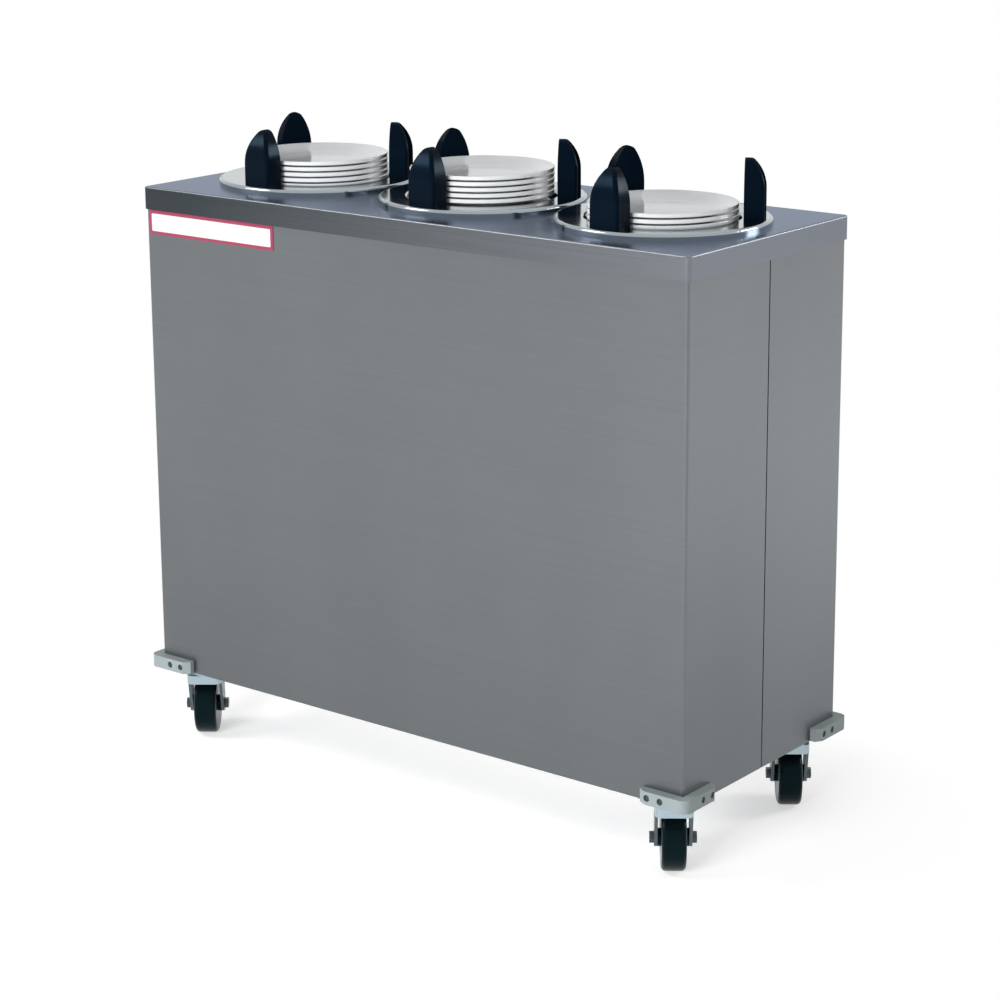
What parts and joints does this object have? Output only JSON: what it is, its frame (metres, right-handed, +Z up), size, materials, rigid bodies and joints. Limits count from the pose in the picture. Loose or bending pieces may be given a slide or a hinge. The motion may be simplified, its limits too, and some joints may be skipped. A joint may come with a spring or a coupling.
{
  "type": "heated plate dispenser",
  "caption": "Mobile steel cabinet with sprung silos that keep plate stacks warm and at serving height between tall guide posts, on swivel casters.",
  "frame": {"origin": "on the floor under the middle of the cabinet", "axes": "+X to the right along the row of silos, +Y to the rear, +Z up"},
  "size_m": [1.108, 0.46, 1.059],
  "materials": {
    "satin_stainless": "fine horizontal brushing",
    "polished_stainless": "bright fine brushing",
    "galvanised_steel": "dull zinc coat",
    "spring_steel": "oiled wire",
    "white_porcelain": "white glaze",
    "black_guide": "glossy black moulding",
    "grey_bumper": "pale grey moulding",
    "zinc_plate": "bright zinc plate",
    "black_wheel": "smooth black tread",
    "element_sheath": "oxidised alloy sheath",
    "black_control": "fine grained black moulding",
    "amber_lens": "clear amber moulding",
    "gland_rubber": "matt black rubber"
  },
  "bodies": {
    "cabinet": {"front_shell": "satin_stainless", "rear_shell": "satin_stainless", "top_pan": "polished_stainless", "base_pan": "galvanised_steel", "caster_channels": "galvanised_steel", "flange_ring_left": "polished_stainless", "flange_ring_center": "polished_stainless", "flange_ring_right": "polished_stainless", "silo_tube_left": "galvanised_steel", "silo_tube_center": "galvanised_steel", "silo_tube_right": "galvanised_steel", "springs_left": "spring_steel", "springs_center": "spring_steel", "springs_right": "spring_steel", "guides_left": "black_guide", "guides_center": "black_guide", "guides_right": "black_guide", "bumper_front_left": "grey_bumper", "bumper_front_right": "grey_bumper", "bumper_rear_left": "grey_bumper", "bumper_rear_right": "grey_bumper", "bumper_screws": "zinc_plate", "caster_plate_front_left": "zinc_plate", "caster_plate_front_right": "zinc_plate", "caster_plate_rear_left": "zinc_plate", "caster_plate_rear_right": "zinc_plate", "caster_bolts": "zinc_plate", "heating_element": "element_sheath", "element_brackets": "galvanised_steel", "control_panel": "satin_stainless", "control_box": "galvanised_steel", "thermostat": "black_control", "switch_housing": "black_control", "pilot_lamp": "amber_lens", "cord_gland": "gland_rubber"},
    "carriage_left": {"carriage_left": "galvanised_steel", "plates_left": "white_porcelain"},
    "carriage_center": {"carriage_center": "galvanised_steel", "plates_center": "white_porcelain"},
    "carriage_right": {"carriage_right": "galvanised_steel", "plates_right": "white_porcelain"},
    "caster_front_left": {"caster_fork_front_left": "zinc_plate", "caster_axle_front_left": "zinc_plate"},
    "wheel_front_left": {"caster_wheel_front_left": "black_wheel"},
    "caster_front_right": {"caster_fork_front_right": "zinc_plate", "caster_axle_front_right": "zinc_plate"},
    "wheel_front_right": {"caster_wheel_front_right": "black_wheel"},
    "caster_rear_left": {"caster_fork_rear_left": "zinc_plate", "caster_axle_rear_left": "zinc_plate"},
    "wheel_rear_left": {"caster_wheel_rear_left": "black_wheel"},
    "caster_rear_right": {"caster_fork_rear_right": "zinc_plate", "caster_axle_rear_right": "zinc_plate"},
    "wheel_rear_right": {"caster_wheel_rear_right": "black_wheel"},
    "thermostat_knob": {"thermostat_knob": "black_control"},
    "switch_rocker": {"switch_rocker": "black_control"}
  },
  "joints": [
    {"name": "left_carriage_lift", "type": "slide", "parent": "cabinet", "child": "carriage_left", "axis": [0, 0, 1], "range_m": [-0.436, 0.025], "stiffness_N_per_m": 692, "springref_m": 0.06729, "deforming": ["springs_left"]},
    {"name": "center_carriage_lift", "type": "slide", "parent": "cabinet", "child": "carriage_center", "axis": [0, 0, 1], "range_m": [-0.436, 0.025], "stiffness_N_per_m": 692, "springref_m": 0.06729, "deforming": ["springs_center"]},
    {"name": "right_carriage_lift", "type": "slide", "parent": "cabinet", "child": "carriage_right", "axis": [0, 0, 1], "range_m": [-0.436, 0.025], "stiffness_N_per_m": 692, "springref_m": 0.06729, "deforming": ["springs_right"]},
    {"name": "front_left_swivel", "type": "hinge", "parent": "cabinet", "child": "caster_front_left", "pos_m": [-0.488, -0.164, 0.116], "axis": [0, 0, 1], "continuous": true},
    {"name": "front_left_wheel_spin", "type": "hinge", "parent": "caster_front_left", "child": "wheel_front_left", "pos_m": [-0.49883, -0.14963, 0.051], "axis": [0.7986, 0.6018, 0], "continuous": true},
    {"name": "front_right_swivel", "type": "hinge", "parent": "cabinet", "child": "caster_front_right", "pos_m": [0.488, -0.164, 0.116], "axis": [0, 0, 1], "continuous": true},
    {"name": "front_right_wheel_spin", "type": "hinge", "parent": "caster_front_right", "child": "wheel_front_right", "pos_m": [0.47717, -0.14963, 0.051], "axis": [0.7986, 0.6018, 0], "continuous": true},
    {"name": "rear_left_swivel", "type": "hinge", "parent": "cabinet", "child": "caster_rear_left", "pos_m": [-0.488, 0.164, 0.116], "axis": [0, 0, 1], "continuous": true},
    {"name": "rear_left_wheel_spin", "type": "hinge", "parent": "caster_rear_left", "child": "wheel_rear_left", "pos_m": [-0.49883, 0.17838, 0.051], "axis": [0.7986, 0.6018, 0], "continuous": true},
    {"name": "rear_right_swivel", "type": "hinge", "parent": "cabinet", "child": "caster_rear_right", "pos_m": [0.488, 0.164, 0.116], "axis": [0, 0, 1], "continuous": true},
    {"name": "rear_right_wheel_spin", "type": "hinge", "parent": "caster_rear_right", "child": "wheel_rear_right", "pos_m": [0.47717, 0.17838, 0.051], "axis": [0.7986, 0.6018, 0], "continuous": true},
    {"name": "thermostat_turn", "type": "hinge", "parent": "cabinet", "child": "thermostat_knob", "pos_m": [-0.096, 0.2155, 0.63], "axis": [0, 1, 0], "range_deg": [-270, 0]},
    {"name": "switch_rock", "type": "hinge", "parent": "cabinet", "child": "switch_rocker", "pos_m": [-0.15967, 0.214, 0.63], "axis": [1, 0, 0], "range_deg": [0, 18]}
  ]
}
